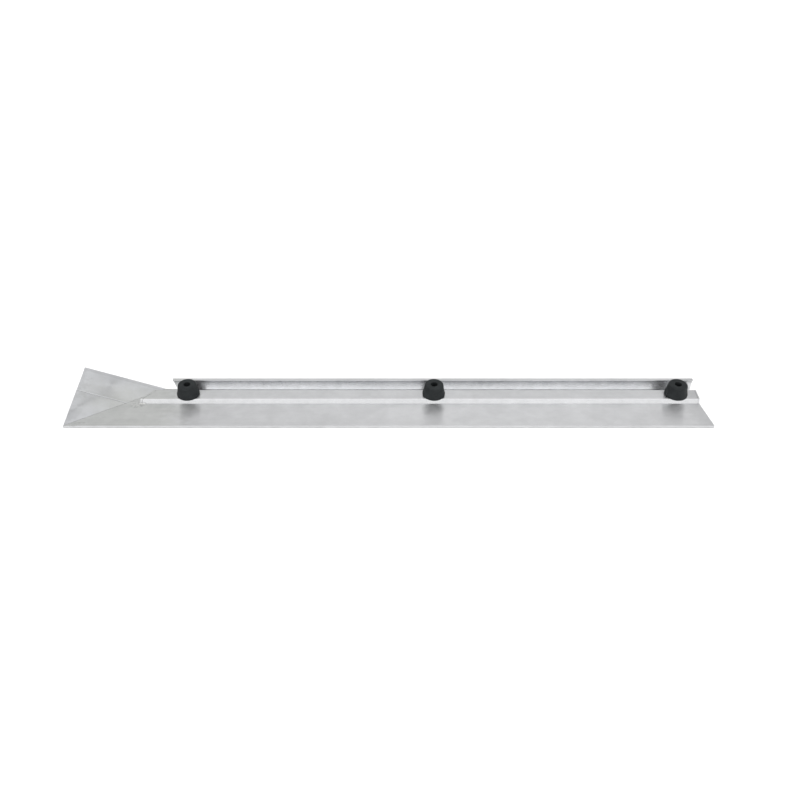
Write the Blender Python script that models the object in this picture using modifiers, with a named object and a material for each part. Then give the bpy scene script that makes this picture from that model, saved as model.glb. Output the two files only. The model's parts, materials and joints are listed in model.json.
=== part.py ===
"""Aluminium bull float blade with one corner turned up and three rubber buffers.

Two long planks meet in a tongue and groove seam. The rear one carries a rail that leans over
the blade. A hollow rib with a sloping top is riveted over the seam, and a rubber buffer is
screwed onto it in three places. The left rear corner of the blade is cut along a mitre line,
turned up and welded. The rail stands a little in front of the rear edge and is sawn off short
of the turned-up corner.

Units are metres. +X runs along the blade, +Y from the working edge to the rail and +Z up. The
origin is on the flat underside, halfway along the blade and halfway across it.
"""

import math

import bmesh
import bpy
from mathutils import Matrix, Vector

GAP = 0.0003  # clearance kept between pieces that touch

# Blade
LENGTH = 1.200
DEPTH = 0.148
PLATE = 0.005
EDGE_ROUND = 0.0006
LEFT_X = -LENGTH / 2
RIGHT_X = LENGTH / 2
FRONT_Y = -DEPTH / 2
REAR_Y = DEPTH / 2

# Turned-up corner: the fold line runs from the front left corner to the rear edge
FOLD_RUN = 0.1604
FOLD_ANGLE = math.radians(29)

# Raised rib, with a top that rises towards the rail and a front face that leans back
RIB_FRONT_Y = FRONT_Y + 0.085
RIB_DEPTH = 0.030
RIB_FRONT_HEIGHT = 0.009
RIB_FRONT_LEAN = 0.0028
RIB_REAR_HEIGHT = 0.0145
RIB_WALL = 0.0025
RIB_FOOT = 0.012
RIB_ROUND = 0.0010
RIB_LEFT_FRONT_X = -0.478
RIB_LEFT_REAR_X = -0.454
CAP_THICKNESS = 0.003
RIB_TILT = math.atan2(RIB_REAR_HEIGHT - RIB_FRONT_HEIGHT, RIB_DEPTH - RIB_FRONT_LEAN)
RIB_FOOT_Z = PLATE + GAP

# Seam between the planks, under the rib's front foot, and the welds under the blade
SEAM_Y = RIB_FRONT_Y + 0.003
SEAM_CHAMFER = 0.0007
SEAM_WELD = 0.0015
WELD_END_MARGIN = 0.005
WELD_FOLD_MARGIN = 0.006
TONGUE_LENGTH = 0.0025
TONGUE_BOTTOM = 0.0024
TONGUE_TOP = 0.0038

# Rear rail, measured from the blade's top face, and the lip that lies square on top of it.
# The rail's back stands in front of the rear edge by its inset.
CHANNEL_RIGHT_X = RIGHT_X - 0.002
RAIL_INSET = 0.005
RAIL_WALL = 0.003
RAIL_LEAN = 0.0053
RAIL_HEIGHT = 0.0246
RAIL_COVE = 0.003
LIP_THICKNESS = 0.003
LIP_OVERHANG = 0.0026
LIP_BACK = 0.0010
LIP_ROUND = 0.0007

# The rail's left end is sawn at a slant, with the lip reaching furthest left. The saw leaves a
# low land on the floor, from the rail's end to the tip of the turned-up corner.
SAW_LAND = 0.0003
RAIL_END_X = -0.4208
RAIL_END_Z = 0.0314
RAIL_END_TILT = math.radians(14)

# Rubber buffers and what fastens them, measured along each buffer's own axis
BUFFER_X = {"left": -0.386, "middle": 0.0885, "right": 0.557}
BUFFER_SEAT = 0.0163  # from the rib's front foot to the middle of the base
BUFFER_HEIGHT = 0.0248
BUFFER_BASE_RADIUS = 0.0218
BUFFER_TOP_RADIUS = 0.0176
BUFFER_WAIST_RADIUS = 0.0198
BUFFER_WAIST_HEIGHT = 0.0105
BUFFER_WAIST_ROUND = 0.012
BUFFER_LIP_HEIGHT = 0.0042
BUFFER_LIP_ROUND = 0.0016
BUFFER_SHOULDER_ROUND = 0.0026
BUFFER_EDGE_ROUND = 0.0008
BUFFER_HOLE_RADIUS = 0.0066
BUFFER_FLOOR = 0.0065
RECESS_RADIUS = 0.007
RECESS_DEPTH = 0.0018
WASHER_RADIUS = 0.0062
WASHER_THICKNESS = 0.0012
SCREW_RADIUS = 0.003
SCREW_LENGTH = 0.016
HEAD_RADIUS = 0.005
HEAD_HEIGHT = 0.006
SOCKET_RADIUS = 0.0029
SOCKET_DEPTH = 0.003
SCREW_CHAMFER = 0.0005
NUT_BODY_RADIUS = 0.0045
NUT_FLANGE_RADIUS = 0.0065
NUT_BULGE_RADIUS = 0.006
NUT_BULGE_HEIGHT = 0.0012
NUT_LENGTH = 0.008

# Blind rivets that hold the rib's feet
RIVET_COUNT = 7
RIVET_FIRST_X = -0.440
RIVET_LAST_X = 0.580
RIVET_RADIUS = 0.0016
RIVET_HEAD_RADIUS = 0.0030
RIVET_BULGE_RADIUS = 0.0026
RIVET_BULGE_HEIGHT = 0.0030
RIVET_INSET = 0.0085

# Weld bead round the rib's left end
BEAD_RADIUS = 0.0018
BEAD_FRONT_RUN = 0.012

# Cutters reach this far past what they cut
REACH = 0.6

ROUND_STEPS = 32
SMALL_STEPS = 12


# Scene and material helpers

def clear_scene():
    for item in list(bpy.data.objects):
        bpy.data.objects.remove(item, do_unlink=True)


def new_collection(name):
    collection = bpy.data.collections.new(name)
    bpy.context.scene.collection.children.link(collection)
    return collection


def new_material(name, colour, roughness, metallic):
    material = bpy.data.materials.new(name)
    material.use_nodes = True
    shader = material.node_tree.nodes["Principled BSDF"]
    shader.inputs["Base Color"].default_value = (*colour, 1.0)
    shader.inputs["Roughness"].default_value = roughness
    shader.inputs["Metallic"].default_value = metallic
    material.diffuse_color = (*colour, 1.0)
    return material


def new_object(name, mesh, material):
    """A part in the float's collection or, with no material, a cutter in the cutters'."""
    item = bpy.data.objects.new(name, mesh)
    if material is None:
        cutters.objects.link(item)
        item.hide_render = True
        item.display_type = "WIRE"
    else:
        mesh.materials.append(material)
        parts.objects.link(item)
    return item


def new_frame(name, matrix):
    """An empty that carries the pieces which share one position and tilt."""
    empty = bpy.data.objects.new(name, None)
    parts.objects.link(empty)
    empty.matrix_world = matrix
    return empty


def cut(target, cutter, operation="DIFFERENCE"):
    modifier = target.modifiers.new(cutter.name, "BOOLEAN")
    modifier.operation = operation
    modifier.solver = "EXACT"
    modifier.object = cutter


def evaluated_mesh(item):
    bpy.context.view_layer.update()
    return bpy.data.meshes.new_from_object(item.evaluated_get(bpy.context.evaluated_depsgraph_get()))


# Shape helpers

def rounded(corners, steps=3):
    """Outline through (a, b, radius) corners, each with an arc of its radius."""
    outline = []
    for index, (a, b, radius) in enumerate(corners):
        corner = Vector((a, b))
        if radius == 0:
            outline.append(corner)
            continue
        before = (Vector(corners[index - 1][:2]) - corner).normalized()
        after = (Vector(corners[(index + 1) % len(corners)][:2]) - corner).normalized()
        half = before.angle(after) / 2
        centre = corner + (before + after).normalized() * (radius / math.sin(half))
        first = corner + before * (radius / math.tan(half)) - centre
        last = corner + after * (radius / math.tan(half)) - centre
        sweep = -first.angle_signed(last)
        for step in range(steps + 1):
            outline.append(centre + Matrix.Rotation(sweep * step / steps, 2) @ first)
    return outline


def extruded(name, outline, start, end, material):
    """A solid with a (y, z) outline that runs along its own X axis from start to end."""
    curve = bpy.data.curves.new(name, "CURVE")
    curve.dimensions = "2D"
    curve.fill_mode = "BOTH"
    curve.extrude = (end - start) / 2
    spline = curve.splines.new("POLY")
    spline.points.add(len(outline) - 1)
    for point, (across, up) in zip(spline.points, outline):
        point.co = (across, up, 0.0, 1.0)
    spline.use_cyclic_u = True
    guide = bpy.data.objects.new(name, curve)
    bpy.context.scene.collection.objects.link(guide)
    mesh = evaluated_mesh(guide)
    bpy.data.objects.remove(guide)
    bpy.data.curves.remove(curve)

    solid = bmesh.new()
    solid.from_mesh(mesh)
    bmesh.ops.remove_doubles(solid, verts=solid.verts, dist=1e-6)
    turn = Matrix(((0, 0, 1), (1, 0, 0), (0, 1, 0))).to_4x4()
    bmesh.ops.transform(solid, matrix=turn, verts=solid.verts)
    bmesh.ops.translate(solid, vec=((start + end) / 2, 0, 0), verts=solid.verts)
    bmesh.ops.recalc_face_normals(solid, faces=solid.faces)
    solid.to_mesh(mesh)
    solid.free()
    mesh.name = name
    return new_object(name, mesh, material)


def box(name, low, high):
    """A cutter that fills the box between two corners of its own frame."""
    low, high = Vector(low), Vector(high)
    solid = bmesh.new()
    fit = Matrix.Translation((low + high) / 2) @ Matrix.Diagonal((*(high - low), 1.0))
    bmesh.ops.create_cube(solid, size=1.0, matrix=fit)
    mesh = bpy.data.meshes.new(name)
    solid.to_mesh(mesh)
    solid.free()
    return new_object(name, mesh, None)


def prism_cutter(name, sides, radius, half_depth, height):
    """An upright prism round its own Z axis, centred at the given height."""
    mesh = bpy.data.meshes.new(name)
    solid = bmesh.new()
    bmesh.ops.create_cone(
        solid, cap_ends=True, segments=sides, radius1=radius, radius2=radius,
        depth=2 * half_depth, matrix=Matrix.Translation((0, 0, height)),
    )
    solid.to_mesh(mesh)
    solid.free()
    return new_object(name, mesh, None)


def turned(name, outline, material, steps=ROUND_STEPS):
    """A round piece from an (r, z) outline that runs down its outer side."""
    on_axis = min(radius for radius, height in outline) < 1e-6
    profile = bmesh.new()
    points = [profile.verts.new((radius, 0.0, height)) for radius, height in outline]
    for first, second in zip(points, points[1:]):
        profile.edges.new((first, second))
    if not on_axis:
        profile.edges.new((points[-1], points[0]))
    mesh = bpy.data.meshes.new(name)
    profile.to_mesh(mesh)
    profile.free()

    item = new_object(name, mesh, material)
    screw = item.modifiers.new("turn", "SCREW")
    screw.steps = screw.render_steps = steps
    screw.use_merge_vertices = on_axis
    screw.merge_threshold = 1e-5
    screw.use_smooth_shade = True
    return item


def turned_cutters(name, outline, places, steps=SMALL_STEPS):
    """One cutter with a copy of a turned shape at each place."""
    pattern = turned(name + "_pattern", outline, None, steps)
    single = evaluated_mesh(pattern)
    bpy.data.objects.remove(pattern)
    group = bmesh.new()
    here = Vector((0, 0, 0))
    for place in places:
        single.transform(Matrix.Translation(place - here))
        group.from_mesh(single)
        here = place
    bpy.data.meshes.remove(single)
    mesh = bpy.data.meshes.new(name)
    group.to_mesh(mesh)
    group.free()
    return new_object(name, mesh, None)


# Outlines across the blade, in (y, z)

def seam_edge(side):
    """The seam's edge from underside to top; side is -1 for the tongue, +1 for the groove."""
    face = SEAM_Y + side * GAP / 2
    spread = GAP if side > 0 else 0.0
    tip = SEAM_Y + TONGUE_LENGTH + side * GAP / 2
    return [
        (face + side * SEAM_WELD, 0.0, 0),
        (face, SEAM_WELD, 0),
        (face, TONGUE_BOTTOM - spread, 0),
        (tip, TONGUE_BOTTOM - spread, 0),
        (tip, TONGUE_TOP + spread, 0),
        (face, TONGUE_TOP + spread, 0),
        (face, PLATE - SEAM_CHAMFER, 0),
        (face + side * SEAM_CHAMFER, PLATE, 0),
    ]


def front_outline():
    return rounded([
        (FRONT_Y, PLATE, EDGE_ROUND),
        (FRONT_Y, 0.0, EDGE_ROUND),
        *seam_edge(-1),
    ])


def rear_channel_outline():
    """The floor, the rail that leans over it, and the rail's T-shaped lip."""
    outer_foot = Vector((REAR_Y - RAIL_INSET, PLATE))
    inner_foot = outer_foot - Vector((RAIL_WALL, 0))
    inner_top = inner_foot + Vector((-RAIL_LEAN, RAIL_HEIGHT))
    up = (inner_top - inner_foot).normalized()
    back = Vector((up.y, -up.x))
    outer_top = inner_top + back * (RAIL_WALL * up.y)
    lip_back = outer_top + back * LIP_BACK
    lip_front = inner_top - back * LIP_OVERHANG
    return rounded([
        *reversed(seam_edge(+1)),
        (REAR_Y, 0.0, EDGE_ROUND),
        (REAR_Y, PLATE, EDGE_ROUND),
        (*outer_foot, RAIL_COVE / 3),
        (*outer_top, 0),
        (*(lip_back + up * LIP_ROUND), 0),
        (*(lip_back + up * LIP_THICKNESS), LIP_ROUND),
        (*(lip_front + up * LIP_THICKNESS), LIP_ROUND),
        (*(lip_front + up * LIP_ROUND / 2), 0),
        (*inner_top, 0),
        (*inner_foot, RAIL_COVE),
    ])


def rib_front(z):
    """Where the rib's leaning front face stands at the given height."""
    return RIB_FRONT_Y + RIB_FRONT_LEAN * (z - RIB_FOOT_Z) / RIB_FRONT_HEIGHT


def rib_top(y):
    """How high the rib's sloping top is at the given place across the blade."""
    return RIB_FOOT_Z + RIB_FRONT_HEIGHT + (y - RIB_FRONT_Y - RIB_FRONT_LEAN) * math.tan(RIB_TILT)


def rib_skin():
    """The rib's outer faces from the rear foot over the top to the front foot."""
    rear_y = RIB_FRONT_Y + RIB_DEPTH
    return [
        (rear_y, RIB_FOOT_Z, 0),
        (rear_y, RIB_FOOT_Z + RIB_REAR_HEIGHT, RIB_ROUND),
        (RIB_FRONT_Y + RIB_FRONT_LEAN, RIB_FOOT_Z + RIB_FRONT_HEIGHT, RIB_ROUND),
        (RIB_FRONT_Y, RIB_FOOT_Z, 0),
    ]


def rib_outline():
    """The rib with its hollow, which is open between the two inturned feet."""
    foot_top = RIB_FOOT_Z + RIB_WALL
    rear_inner = RIB_FRONT_Y + RIB_DEPTH - RIB_WALL
    roof_drop = RIB_WALL / math.cos(RIB_TILT)
    front_roof = rib_top(RIB_FRONT_Y + RIB_FRONT_LEAN + RIB_WALL) - roof_drop
    rear_roof = rib_top(rear_inner) - roof_drop
    front_toe = RIB_FRONT_Y + RIB_FOOT
    rear_toe = RIB_FRONT_Y + RIB_DEPTH - RIB_FOOT
    return rounded([
        *rib_skin(),
        (front_toe, RIB_FOOT_Z, 0),
        (front_toe, foot_top, 0),
        (rib_front(foot_top) + RIB_WALL, foot_top, 0),
        (rib_front(front_roof) + RIB_WALL, front_roof, 0),
        (rear_inner, rear_roof, 0),
        (rear_inner, foot_top, 0),
        (rear_toe, foot_top, 0),
        (rear_toe, RIB_FOOT_Z, 0),
    ])


# The blade and its turned-up corner

def fold_line():
    """Frame on the fold line: X along it from the front corner, Y towards the corner."""
    heading = Matrix.Rotation(math.atan2(DEPTH, FOLD_RUN), 4, "Z")
    return Matrix.Translation((LEFT_X, FRONT_Y, PLATE)) @ heading


def fold_x(y):
    """Where the fold line crosses the given distance across the blade."""
    return LEFT_X + FOLD_RUN * (y - FRONT_Y) / DEPTH


def attach(item, frame, flat_matrix):
    """Lets a piece that was modelled flat swing up with the corner."""
    item.parent = frame
    item.matrix_parent_inverse = flat_matrix.inverted()


def rail_end_cutter(name):
    """Takes the rail off left of its slanting end, down to the top of the land."""
    low = PLATE + SAW_LAND
    high = RAIL_END_Z + PLATE
    low_x = RAIL_END_X + (RAIL_END_Z - low) * math.tan(RAIL_END_TILT)
    high_x = RAIL_END_X + (RAIL_END_Z - high) * math.tan(RAIL_END_TILT)
    slant = [(-low_x, low), (REACH - low_x, low), (REACH - low_x, high), (-high_x, high)]
    cutter = extruded(name, slant, SEAM_Y, REAR_Y + PLATE, None)
    cutter.rotation_euler.z = math.pi / 2
    return cutter


def build_blade(aluminium):
    flat = fold_line()
    corner_cutter = box("corner_cutter", (-REACH, -GAP / 2, -REACH), (REACH, REACH, REACH))
    corner_cutter.matrix_world = flat

    front = extruded("front_plank", front_outline(), LEFT_X, RIGHT_X, aluminium)
    cut(front, corner_cutter)
    rear = extruded("rear_channel", rear_channel_outline(), LEFT_X, CHANNEL_RIGHT_X, aluminium)
    cut(rear, rail_end_cutter("rail_end_cutter"))
    cut(rear, corner_cutter)

    corner = new_frame("corner_fold", flat @ Matrix.Rotation(FOLD_ANGLE, 4, "X"))
    blade_cutter = box("blade_cutter", (-REACH, -REACH, -REACH), (REACH, GAP / 2, REACH))
    blade_cutter.matrix_world = corner.matrix_world.copy()
    right = fold_x(REAR_Y) + PLATE
    wing_front = extruded("wing_front_plate", front_outline(), LEFT_X, right, aluminium)
    wing_rear = extruded("wing_rear_plate", rear_channel_outline(), LEFT_X, right, aluminium)
    wing_rail_cutter = rail_end_cutter("wing_rail_cutter")
    for item in (wing_front, wing_rear, wing_rail_cutter):
        attach(item, corner, flat)
    cut(wing_front, blade_cutter)
    cut(wing_rear, wing_rail_cutter)
    cut(wing_rear, blade_cutter)
    return rear, corner


def build_blade_welds(weld, corner):
    half_gap = GAP / 2
    rise, run = math.sin(FOLD_ANGLE), math.cos(FOLD_ANGLE)
    apex = half_gap * (1 + run) / rise
    toe = PLATE - GAP
    groove = [
        (half_gap, -half_gap * rise - apex * run),
        (half_gap, -PLATE + half_gap),
        (toe * rise - half_gap * run, -half_gap * rise - toe * run),
    ]
    fold_length = math.hypot(FOLD_RUN, DEPTH)
    mitre = extruded("mitre_weld", groove, WELD_END_MARGIN, fold_length - WELD_END_MARGIN, weld)
    mitre.matrix_world = fold_line()

    width = SEAM_WELD - GAP
    bead = [(SEAM_Y - width, half_gap), (SEAM_Y + width, half_gap), (SEAM_Y, width)]
    fold_end = fold_x(SEAM_Y)
    extruded("blade_seam_weld", bead, fold_end + WELD_FOLD_MARGIN, CHANNEL_RIGHT_X - WELD_END_MARGIN, weld)
    wing_end = fold_end - WELD_FOLD_MARGIN
    wing_bead = extruded("wing_seam_weld", bead, LEFT_X + WELD_END_MARGIN, wing_end, weld)
    attach(wing_bead, corner, fold_line())


# The rib, its end caps, rivets and weld

def mitre_frame():
    """Frame on the rib's left end: X along the mitred face, Y out of the rib."""
    run = RIB_LEFT_REAR_X - RIB_LEFT_FRONT_X
    heading = Matrix.Rotation(math.atan2(RIB_DEPTH, run), 4, "Z")
    return Matrix.Translation((RIB_LEFT_FRONT_X, RIB_FRONT_Y, 0)) @ heading


def build_rib(aluminium):
    end_cutter = box("rib_end_cutter", (-REACH, -CAP_THICKNESS - GAP, -REACH), (REACH, REACH, REACH))
    end_cutter.matrix_world = mitre_frame()
    cap_slab = box("cap_slab", (-REACH, -CAP_THICKNESS, -REACH), (REACH, 0.0, REACH))
    cap_slab.matrix_world = mitre_frame()

    start = RIB_LEFT_FRONT_X - RIB_DEPTH
    rib = extruded("raised_rib", rib_outline(), start, RIGHT_X - CAP_THICKNESS - GAP, aluminium)
    cut(rib, end_cutter)

    skin = rounded(rib_skin())
    left_cap = extruded("rib_end_cap_left", skin, start, RIB_LEFT_REAR_X + RIB_DEPTH, aluminium)
    cut(left_cap, cap_slab, "INTERSECT")
    extruded("rib_end_cap_right", skin, RIGHT_X - CAP_THICKNESS, RIGHT_X, aluminium)
    return rib


def build_rivets(rib, rear_channel, steel):
    head_drop = RIVET_HEAD_RADIUS - RIVET_RADIUS
    shank_top = RIB_FOOT_Z + RIB_WALL + GAP
    rivet = [
        (0.0, shank_top + RIVET_BULGE_HEIGHT),
        (RIVET_RADIUS, shank_top + RIVET_BULGE_HEIGHT),
        (RIVET_BULGE_RADIUS, shank_top + RIVET_BULGE_HEIGHT / 2),
        (RIVET_RADIUS, shank_top),
        (RIVET_RADIUS, head_drop),
        (RIVET_HEAD_RADIUS, GAP / 2),
        (0.0, GAP / 2),
    ]
    hole = [
        (0.0, shank_top),
        (RIVET_RADIUS + GAP, shank_top),
        (RIVET_RADIUS + GAP, head_drop),
        (RIVET_HEAD_RADIUS + GAP, 0.0),
        (RIVET_HEAD_RADIUS + GAP, -GAP),
        (0.0, -GAP),
    ]
    pitch = (RIVET_LAST_X - RIVET_FIRST_X) / (RIVET_COUNT - 1)
    for row, y in (
        ("front", RIB_FRONT_Y + RIVET_INSET),
        ("rear", RIB_FRONT_Y + RIB_DEPTH - RIVET_INSET),
    ):
        places = [Vector((RIVET_FIRST_X + index * pitch, y, 0)) for index in range(RIVET_COUNT)]
        for number, place in enumerate(places, start=1):
            turned(f"{row}_rivet_{number}", rivet, steel, SMALL_STEPS).location = place
        holes = turned_cutters(row + "_rivet_holes", hole, places)
        cut(rear_channel, holes)
        cut(rib, holes)


def build_end_weld(weld):
    """A bead that starts on the rib's front face, rounds the corner and follows the end cap."""
    clear = BEAD_RADIUS + GAP
    run = RIB_LEFT_REAR_X - RIB_LEFT_FRONT_X
    slope = math.hypot(run, RIB_DEPTH)
    outward = Vector((-RIB_DEPTH / slope, run / slope, 0)) * clear
    rear_end = Vector((RIB_LEFT_REAR_X, RIB_FRONT_Y + RIB_DEPTH, 0)) + outward
    front_end = Vector((RIB_LEFT_FRONT_X, RIB_FRONT_Y, 0)) + outward
    bead_start = Vector((RIB_LEFT_FRONT_X + BEAD_FRONT_RUN, RIB_FRONT_Y - clear, 0))
    corner = Vector((RIB_LEFT_FRONT_X - clear / 2, RIB_FRONT_Y - clear, 0))
    height = Vector((0, 0, PLATE + clear))

    curve = bpy.data.curves.new("rib_end_weld", "CURVE")
    curve.dimensions = "3D"
    curve.bevel_depth = BEAD_RADIUS
    curve.bevel_resolution = 2
    curve.use_fill_caps = True
    route = [bead_start, corner, front_end, front_end.lerp(rear_end, 0.5), rear_end]
    spline = curve.splines.new("POLY")
    spline.points.add(len(route) - 1)
    for point, place in zip(spline.points, route):
        point.co = (*(place + height), 1.0)
    curve.materials.append(weld)
    bead = bpy.data.objects.new("rib_end_weld", curve)
    parts.objects.link(bead)


# The buffers

def buffer_outline():
    return rounded([
        (BUFFER_HOLE_RADIUS, BUFFER_HEIGHT, BUFFER_EDGE_ROUND),
        (BUFFER_TOP_RADIUS, BUFFER_HEIGHT, BUFFER_SHOULDER_ROUND),
        (BUFFER_WAIST_RADIUS, BUFFER_WAIST_HEIGHT, BUFFER_WAIST_ROUND),
        (BUFFER_BASE_RADIUS, BUFFER_LIP_HEIGHT, BUFFER_LIP_ROUND),
        (BUFFER_BASE_RADIUS - GAP, GAP, BUFFER_LIP_ROUND),
        (RECESS_RADIUS, GAP, 0),
        (RECESS_RADIUS, RECESS_DEPTH, 0),
        (SCREW_RADIUS + GAP, RECESS_DEPTH, 0),
        (SCREW_RADIUS + GAP, BUFFER_FLOOR, 0),
        (BUFFER_HOLE_RADIUS, BUFFER_FLOOR, 0),
    ])


def washer_outline():
    bottom = BUFFER_FLOOR + GAP
    top = bottom + WASHER_THICKNESS
    bore = SCREW_RADIUS + GAP
    return [(bore, top), (WASHER_RADIUS, top), (WASHER_RADIUS, bottom), (bore, bottom)]


def screw_seat():
    return BUFFER_FLOOR + WASHER_THICKNESS + 2 * GAP


def screw_outline():
    seat = screw_seat()
    top = seat + HEAD_HEIGHT
    tip = seat - SCREW_LENGTH
    return [
        (0.0, top),
        (HEAD_RADIUS - SCREW_CHAMFER, top),
        (HEAD_RADIUS, top - SCREW_CHAMFER),
        (HEAD_RADIUS, seat),
        (SCREW_RADIUS, seat),
        (SCREW_RADIUS, tip + SCREW_CHAMFER),
        (SCREW_RADIUS - SCREW_CHAMFER, tip),
        (0.0, tip),
    ]


def rivet_nut_outline():
    """A flanged sleeve whose bulge grips the rib's top wall from below."""
    bore = SCREW_RADIUS + GAP
    flange_top = RECESS_DEPTH - GAP
    grip = -RIB_WALL - GAP
    return [
        (bore, flange_top),
        (NUT_FLANGE_RADIUS, flange_top),
        (NUT_FLANGE_RADIUS, GAP),
        (NUT_BODY_RADIUS, GAP),
        (NUT_BODY_RADIUS, grip),
        (NUT_BULGE_RADIUS, grip - GAP),
        (NUT_BULGE_RADIUS, grip - NUT_BULGE_HEIGHT),
        (NUT_BODY_RADIUS, grip - NUT_BULGE_HEIGHT - GAP),
        (NUT_BODY_RADIUS, -NUT_LENGTH),
        (bore, -NUT_LENGTH),
    ]


def build_buffer(side, x, rib, rubber, zinc, black_steel):
    """A buffer with its washer, screw and rivet nut, square to the rib's sloping top."""
    seat_y = RIB_FRONT_Y + BUFFER_SEAT
    seat = Matrix.Translation((x, seat_y, rib_top(seat_y)))
    frame = new_frame("buffer_seat_" + side, seat @ Matrix.Rotation(RIB_TILT, 4, "X"))

    buffer = turned("buffer_" + side, buffer_outline(), rubber)
    washer = turned("buffer_washer_" + side, washer_outline(), zinc, SMALL_STEPS)
    screw = turned("buffer_screw_" + side, screw_outline(), black_steel, SMALL_STEPS)
    nut = turned("rivet_nut_" + side, rivet_nut_outline(), zinc, SMALL_STEPS)

    head_top = screw_seat() + HEAD_HEIGHT
    socket = prism_cutter("socket_" + side, 6, SOCKET_RADIUS, SOCKET_DEPTH, head_top)
    cut(screw, socket)
    nut_hole = prism_cutter("nut_hole_" + side, SMALL_STEPS, NUT_BODY_RADIUS + GAP, RIB_WALL + GAP, 0.0)
    cut(rib, nut_hole)

    for item in (buffer, washer, screw, nut, socket, nut_hole):
        item.parent = frame


clear_scene()
parts = new_collection("bull_float")
cutters = new_collection("cutters")

mill_aluminium = new_material("mill_aluminium", (0.62, 0.63, 0.64), 0.45, 1.0)
weld_aluminium = new_material("weld_aluminium", (0.50, 0.51, 0.52), 0.55, 1.0)
black_rubber = new_material("black_rubber", (0.018, 0.019, 0.020), 0.60, 0.0)
zinc_steel = new_material("zinc_steel", (0.60, 0.60, 0.58), 0.35, 1.0)
oxide_steel = new_material("oxide_steel", (0.03, 0.03, 0.03), 0.45, 1.0)

channel, turned_corner = build_blade(mill_aluminium)
build_blade_welds(weld_aluminium, turned_corner)
raised_rib = build_rib(mill_aluminium)
build_rivets(raised_rib, channel, zinc_steel)
build_end_weld(weld_aluminium)
for buffer_side, buffer_x in BUFFER_X.items():
    build_buffer(buffer_side, buffer_x, raised_rib, black_rubber, zinc_steel, oxide_steel)
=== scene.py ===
"""Looks of the bull float blade: mill aluminium, a rippled weld, moulded rubber and plated steel.

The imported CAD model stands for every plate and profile, with its edges eased. The buffers, their
fasteners, the blind rivets and the weld bead are modelled here in full detail and replace their
plain CAD solids.
"""

import json
import math
import random

import bmesh
import bpy
from mathutils import Matrix, Vector, noise


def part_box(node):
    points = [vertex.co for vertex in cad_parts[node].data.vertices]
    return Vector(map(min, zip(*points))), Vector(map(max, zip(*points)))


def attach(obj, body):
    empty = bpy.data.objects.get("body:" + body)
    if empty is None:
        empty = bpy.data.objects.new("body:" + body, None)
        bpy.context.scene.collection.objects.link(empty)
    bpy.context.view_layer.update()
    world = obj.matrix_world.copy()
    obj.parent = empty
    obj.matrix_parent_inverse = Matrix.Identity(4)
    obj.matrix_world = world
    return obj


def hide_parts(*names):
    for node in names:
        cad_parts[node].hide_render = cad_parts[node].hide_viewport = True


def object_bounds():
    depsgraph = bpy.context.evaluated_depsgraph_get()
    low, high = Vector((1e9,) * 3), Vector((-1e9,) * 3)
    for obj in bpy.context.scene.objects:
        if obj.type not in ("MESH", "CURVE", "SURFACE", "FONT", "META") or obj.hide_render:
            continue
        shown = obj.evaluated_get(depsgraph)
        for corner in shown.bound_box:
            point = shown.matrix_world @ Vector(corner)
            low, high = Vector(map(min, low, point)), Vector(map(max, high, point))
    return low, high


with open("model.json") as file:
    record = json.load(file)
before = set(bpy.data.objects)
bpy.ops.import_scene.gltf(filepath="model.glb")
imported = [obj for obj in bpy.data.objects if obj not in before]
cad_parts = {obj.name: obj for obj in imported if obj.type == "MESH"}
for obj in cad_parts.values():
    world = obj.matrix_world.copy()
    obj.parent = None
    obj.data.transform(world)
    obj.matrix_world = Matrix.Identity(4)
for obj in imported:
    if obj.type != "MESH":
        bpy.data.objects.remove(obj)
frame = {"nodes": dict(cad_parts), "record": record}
cad_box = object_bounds()
nodes = frame["nodes"]
mounts = {mount["name"]: mount for mount in frame["record"]["mounts"]}

# Camera and studio
CAMERA_PLACE = Vector((-0.0390, -1.4958, 0.8183))
CAMERA_PITCH_DOWN = math.radians(28.12)
CAMERA_LENS_MM = 40.0
CAMERA_SHIFT_X = 0.0403
FLOOR_HALF_SIZE = 40.0
FLOOR_GAP = 0.0005

# Blade, from the frame
PLANK_LOW, PLANK_HIGH = (Vector(corner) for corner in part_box("front_plank"))
RIB_LOW, RIB_HIGH = (Vector(corner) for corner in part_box("raised_rib"))
CAP_LOW = Vector(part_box("rib_end_cap_left")[0])
CHANNEL_HIGH = Vector(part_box("rear_channel")[1])
RIB_REAR_CORNER_X = -0.454
PLATE_TOP = PLANK_HIGH.z
REAR_Y = CHANNEL_HIGH.y
DEPTH = REAR_Y - PLANK_LOW.y

# The turned-up corner: where the fold line ends at the rear, and how steeply the wing rises
FOLD_RUN = 0.1604
FOLD_ANGLE = math.radians(29)
FOLD_START = Vector((PLANK_LOW.x, PLANK_LOW.y, PLATE_TOP))
FOLD_AXIS = Vector((FOLD_RUN, DEPTH, 0)).normalized()

# The seam between the planks, which shows on the wing
SEAM_Y = RIB_LOW.y + 0.003
SEAM_HALF_WIDTH = 0.0009

# The land left where the rail is sawn off, seen along the rear edge of the wing and the blade
LAND_Y = REAR_Y - 0.0065
LAND_HALF_WIDTH = 0.0026
RAIL_END_X = -0.4208

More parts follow.
